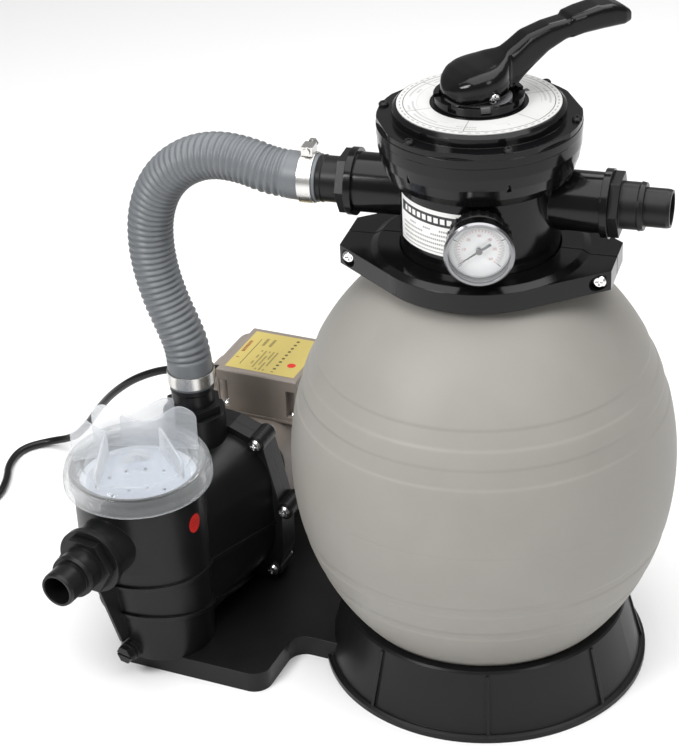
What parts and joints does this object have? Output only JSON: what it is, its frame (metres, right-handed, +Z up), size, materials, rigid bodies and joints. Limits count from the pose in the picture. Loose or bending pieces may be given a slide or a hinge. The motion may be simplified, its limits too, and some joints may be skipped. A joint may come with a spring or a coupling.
{
  "type": "sand filter pump",
  "caption": "Pool sand filter and strainer pump on one moulded base, with a lever valve, pressure gauge, joining hose and mains cord.",
  "frame": {"origin": "middle of the base's round floor, on the tank's axis, at floor level", "axes": "+Z up; +X from the pump towards the tank; -Y is the side that the suction port and the gauge face"},
  "size_m": [0.8907, 0.4571, 0.5985],
  "materials": {
    "tank_plastic": "satin warm grey moulded plastic",
    "black_gloss": "glossy black moulded plastic",
    "black_satin": "satin black moulded plastic",
    "hose_grey": "grey corrugated hose",
    "stainless": "stainless steel",
    "bright_steel": "bright plated steel",
    "clear_plastic": "clear moulded plastic",
    "gauge_glass": "clear gauge window",
    "label_white": "printed white ring",
    "dial_white": "white dial",
    "needle_black": "black painted pointer",
    "taupe_plastic": "taupe moulded plastic",
    "rubber_black": "black rubber",
    "basket_white": "white moulded plastic",
    "washer_grey": "grey low-friction plastic",
    "pipe_white": "white pipe plastic",
    "impeller_plastic": "glass-filled plastic",
    "core_steel": "laminated steel",
    "cord_black": "black cord jacket"
  },
  "bodies": {
    "stand": {"base_stand": "black_satin", "tank_shell": "tank_plastic", "still_seals": "rubber_black", "standpipe": "pipe_white", "lateral_hub": "pipe_white", "laterals": "pipe_white", "collar_front": "black_gloss", "collar_rear": "black_gloss", "collar_bolts": "bright_steel", "valve_body": "black_gloss", "valve_lid": "black_gloss", "valve_lid_screws": "black_satin", "spider_gasket": "rubber_black", "position_ring": "label_white", "gauge_cap": "black_satin", "gauge_case": "stainless", "gauge_dial": "dial_white", "gauge_lens": "gauge_glass", "valve_pump_adapter": "black_satin", "valve_return_adapter": "black_satin", "suction_adapter": "black_satin", "discharge_adapter": "black_satin", "transfer_hose": "hose_grey", "hose_clamps": "stainless", "pump_body": "black_satin", "bracket_plate": "black_satin", "pump_screws": "bright_steel", "motor_bearings": "bright_steel", "motor_housing": "taupe_plastic", "motor_end_shield": "core_steel", "stator": "core_steel", "fan_cover": "taupe_plastic", "motor_foot": "black_satin", "foot_screws": "bright_steel", "terminal_base": "taupe_plastic", "terminal_cover": "taupe_plastic", "box_screws": "bright_steel", "run_capacitor": "washer_grey", "cable_gland": "black_satin", "power_cord": "cord_black", "cord_coil": "cord_black", "cord_plug": "cord_black"},
    "position_washer": {"thrust_washer": "washer_grey", "rotor_spring": "stainless"},
    "valve_rotor": {"rotor": "black_satin", "stem_seal": "rubber_black"},
    "handle": {"valve_handle": "black_gloss", "handle_pin": "bright_steel"},
    "needle": {"gauge_needle": "needle_black"},
    "lid_seal": {"strainer_lid_seal": "rubber_black"},
    "lid": {"strainer_lid": "clear_plastic"},
    "basket": {"strainer_basket": "basket_white"},
    "drain_seal": {"drain_plug_seal": "rubber_black"},
    "drain": {"drain_plug": "black_satin"},
    "waste_seal": {"waste_cap_seal": "rubber_black"},
    "waste": {"waste_cap": "black_satin"},
    "motor_shaft": {"rotor_shaft": "core_steel", "impeller": "impeller_plastic", "mechanical_seal": "rubber_black", "cooling_fan": "impeller_plastic"}
  },
  "joints": [
    {"name": "valve_turn", "type": "hinge", "parent": "stand", "child": "position_washer", "pos_m": [0, 0, 0.536], "axis": [0, 0, 1], "continuous": true},
    {"name": "rotor_lift", "type": "slide", "parent": "position_washer", "child": "valve_rotor", "axis": [0, 0, 1], "range_m": [0, 0.005], "deforming": ["rotor_spring"]},
    {"name": "handle_press", "type": "hinge", "parent": "valve_rotor", "child": "handle", "pos_m": [0, 0, 0.5475], "axis": [-0.7524, 0.6587, 0], "range_deg": [0, 12], "stiffness_Nm_per_rad": 8, "springref_deg": -14.32},
    {"name": "gauge_needle_turn", "type": "hinge", "parent": "stand", "child": "needle", "pos_m": [0.03181, -0.08739, 0.449], "axis": [-0.342, 0.9397, 0], "range_deg": [0, 248], "stiffness_Nm_per_rad": 0.0002, "springref_deg": -17.19},
    {"name": "lid_lift", "type": "slide", "parent": "stand", "child": "lid_seal", "axis": [0, 0, 1], "range_m": [0, 0.16]},
    {"name": "lid_turn", "type": "hinge", "parent": "lid_seal", "child": "lid", "pos_m": [-0.283, -0.113, 0.2], "axis": [0, 0, 1], "range_deg": [0, 90]},
    {"name": "basket_lift", "type": "slide", "parent": "stand", "child": "basket", "axis": [0, 0, 1], "range_m": [0, 0.12]},
    {"name": "drain_plug_travel", "type": "slide", "parent": "stand", "child": "drain_seal", "axis": [-0.225, -0.9744, 0], "range_m": [0, 0.008]},
    {"name": "drain_plug_turn", "type": "hinge", "parent": "drain_seal", "child": "drain", "pos_m": [-0.28137, -0.16659, 0.03], "axis": [-0.225, -0.9744, 0], "range_deg": [0, 1440]},
    {"name": "waste_cap_travel", "type": "slide", "parent": "stand", "child": "waste_seal", "axis": [-0.1201, 0.9928, 0], "range_m": [0, 0.012]},
    {"name": "waste_cap_turn", "type": "hinge", "parent": "waste_seal", "child": "waste", "pos_m": [-0.01177, 0.09729, 0.456], "axis": [-0.1201, 0.9928, 0], "range_deg": [0, 1440]},
    {"name": "shaft_spin", "type": "hinge", "parent": "stand", "child": "motor_shaft", "pos_m": [-0.282, 0, 0.104], "axis": [0, -1, 0], "continuous": true}
  ],
  "couplings": [
    {"joint": "rotor_lift", "follows": "handle_press", "m_per_rad": 0.023873},
    {"joint": "basket_lift", "follows": "lid_lift", "ratio": 0.72},
    {"joint": "drain_plug_travel", "follows": "drain_plug_turn", "m_per_rad": 0.00031831},
    {"joint": "waste_cap_travel", "follows": "waste_cap_turn", "m_per_rad": 0.00047746}
  ]
}
